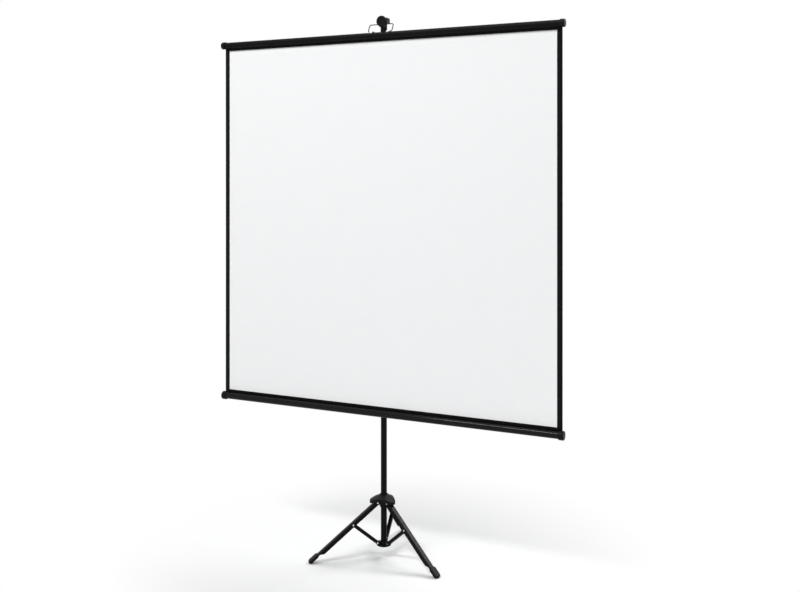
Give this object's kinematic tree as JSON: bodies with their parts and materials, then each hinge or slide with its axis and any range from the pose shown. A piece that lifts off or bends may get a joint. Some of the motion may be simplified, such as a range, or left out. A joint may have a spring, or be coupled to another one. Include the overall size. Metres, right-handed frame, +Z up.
{
  "type": "tripod projection screen",
  "caption": "Free-standing square projection screen: black-edged white fabric drawn from a spring-roller case up to a hook on a telescopic mast, on a folding three-legged stand.",
  "frame": {"origin": "on the floor, in the middle of the width and of the depth", "axes": "+X along the screen to the viewer's right, +Y to the back of the screen, +Z up the mast"},
  "size_m": [1.808, 0.5992, 2.5722],
  "materials": {
    "black_paint": "black satin powder coat",
    "black_anodised": "black satin anodised",
    "black_plastic": "black moulded, fine grain",
    "grey_plastic": "natural moulded",
    "steel": "zinc plated",
    "spring_steel": "oiled",
    "screen_fabric": "matte white with a black edge and a black back",
    "black_fabric": "matte black"
  },
  "bodies": {
    "mast": {"mast_outer_tube": "black_paint", "lower_hub": "black_plastic", "lower_hub_screw": "steel", "mast_collar": "black_plastic", "collar_screw": "steel"},
    "inner_mast": {"mast_inner_tube": "black_paint", "inner_mast_guide": "grey_plastic", "hook_head": "black_plastic", "head_pin": "steel"},
    "mast_lock": {"mast_knob": "black_plastic", "mast_knob_stud": "steel"},
    "slider": {"carriage": "black_plastic"},
    "slider_lock": {"carriage_knob": "black_plastic", "carriage_knob_stud": "steel"},
    "case": {"case_tube": "black_anodised", "case_cap_left": "black_plastic", "case_cap_right": "black_plastic", "case_saddle": "black_paint", "saddle_screws": "steel", "swing_bolt": "steel", "swing_washer": "grey_plastic", "spring_mandrel": "steel", "screen_fabric": "screen_fabric"},
    "roller": {"roller_tube": "black_anodised", "fabric_turns": "black_fabric", "roller_idler_plug": "grey_plastic", "roller_spring_plug": "grey_plastic", "roller_spring": "spring_steel"},
    "slat": {"slat_tube": "black_anodised", "slat_cap_left": "black_plastic", "slat_cap_right": "black_plastic", "fabric_rod": "grey_plastic", "bail_clips": "steel", "clip_rivets": "steel"},
    "bail_wire": {"bail": "black_paint"},
    "upper_hub": {"hub": "black_plastic", "hub_rivets": "steel"},
    "hub_lock": {"hub_knob": "black_plastic", "hub_knob_stud": "steel"},
    "leg_1_assembly": {"leg_1": "black_paint", "foot_1": "black_plastic", "leg_1_pin": "steel"},
    "brace_1_assembly": {"brace_1": "black_paint", "brace_1_rivets": "steel"},
    "leg_2_assembly": {"leg_2": "black_paint", "foot_2": "black_plastic", "leg_2_pin": "steel"},
    "brace_2_assembly": {"brace_2": "black_paint", "brace_2_rivets": "steel"},
    "leg_3_assembly": {"leg_3": "black_paint", "foot_3": "black_plastic", "leg_3_pin": "steel"},
    "brace_3_assembly": {"brace_3": "black_paint", "brace_3_rivets": "steel"}
  },
  "joints": [
    {"name": "hub_slide", "type": "slide", "parent": "mast", "child": "upper_hub", "axis": [0, 0, 1], "range_m": [0, 0.11195]},
    {"name": "screen_pull", "type": "slide", "parent": "case", "child": "slat", "axis": [0, 0, -1], "range_m": [0, 1.745], "deforming": ["screen_fabric"]},
    {"name": "mast_extend", "type": "slide", "parent": "mast", "child": "inner_mast", "axis": [0, 0, -1], "range_m": [0, 0.992]},
    {"name": "roller_spin", "type": "hinge", "parent": "case", "child": "roller", "pos_m": [0, -0.10521, 0.689], "axis": [-1, 0, 0], "range_deg": [0, 9699]},
    {"name": "bail_swing", "type": "hinge", "parent": "slat", "child": "bail_wire", "pos_m": [0, -0.09978, 2.4938], "axis": [1, 0, 0], "range_deg": [0, 110]},
    {"name": "case_raise", "type": "slide", "parent": "mast", "child": "slider", "axis": [0, 0, 1], "range_m": [0, 0.64]},
    {"name": "case_swing", "type": "hinge", "parent": "slider", "child": "case", "pos_m": [0, -0.07271, 0.689], "axis": [0, 1, 0], "range_deg": [0, 90]},
    {"name": "mast_knob_turn", "type": "hinge", "parent": "mast", "child": "mast_lock", "pos_m": [0, -0.03821, 1.424], "axis": [0, 1, 0], "range_deg": [0, 360]},
    {"name": "carriage_knob_turn", "type": "hinge", "parent": "slider", "child": "slider_lock", "pos_m": [0, -0.03871, 0.7142], "axis": [0, 1, 0], "range_deg": [0, 360]},
    {"name": "hub_knob_turn", "type": "hinge", "parent": "upper_hub", "child": "hub_lock", "pos_m": [-0.0249, -0.04915, 0.248], "axis": [-0.9397, 0.342, 0], "range_deg": [0, 360]},
    {"name": "leg_1_fold", "type": "hinge", "parent": "upper_hub", "child": "leg_1_assembly", "pos_m": [0.03054, -0.06932, 0.259], "axis": [0.342, 0.9397, 0], "range_deg": [0, 47]},
    {"name": "brace_1_fold", "type": "hinge", "parent": "leg_1_assembly", "child": "brace_1_assembly", "pos_m": [0.14154, -0.10973, 0.16334], "axis": [-0.342, -0.9397, 0], "range_deg": [0, 94]},
    {"name": "leg_2_fold", "type": "hinge", "parent": "upper_hub", "child": "leg_2_assembly", "pos_m": [-0.0249, -0.0791, 0.259], "axis": [0.6428, -0.766, 0], "range_deg": [0, 47]},
    {"name": "brace_2_fold", "type": "hinge", "parent": "leg_2_assembly", "child": "brace_2_assembly", "pos_m": [-0.11539, -0.15503, 0.16334], "axis": [-0.6428, 0.766, 0], "range_deg": [0, 94]},
    {"name": "leg_3_fold", "type": "hinge", "parent": "upper_hub", "child": "leg_3_assembly", "pos_m": [-0.00564, -0.0262, 0.259], "axis": [-0.9848, -0.1736, 0], "range_deg": [0, 47]},
    {"name": "brace_3_fold", "type": "hinge", "parent": "leg_3_assembly", "child": "brace_3_assembly", "pos_m": [-0.02616, 0.09013, 0.16334], "axis": [0.9848, 0.1736, 0], "range_deg": [0, 94]}
  ],
  "couplings": [
    {"joint": "mast_extend", "follows": "screen_pull", "ratio": 0.56848},
    {"joint": "roller_spin", "follows": "screen_pull", "rad_per_m": 97},
    {"joint": "bail_swing", "follows": "screen_pull", "rad_per_m": 1.1002},
    {"joint": "case_swing", "follows": "case_raise", "rad_per_m": 2.4544},
    {"joint": "leg_1_fold", "follows": "hub_slide", "rad_per_m": 7.3274},
    {"joint": "brace_1_fold", "follows": "hub_slide", "rad_per_m": 14.655},
    {"joint": "leg_2_fold", "follows": "hub_slide", "rad_per_m": 7.3274},
    {"joint": "brace_2_fold", "follows": "hub_slide", "rad_per_m": 14.655},
    {"joint": "leg_3_fold", "follows": "hub_slide", "rad_per_m": 7.3274},
    {"joint": "brace_3_fold", "follows": "hub_slide", "rad_per_m": 14.655}
  ]
}
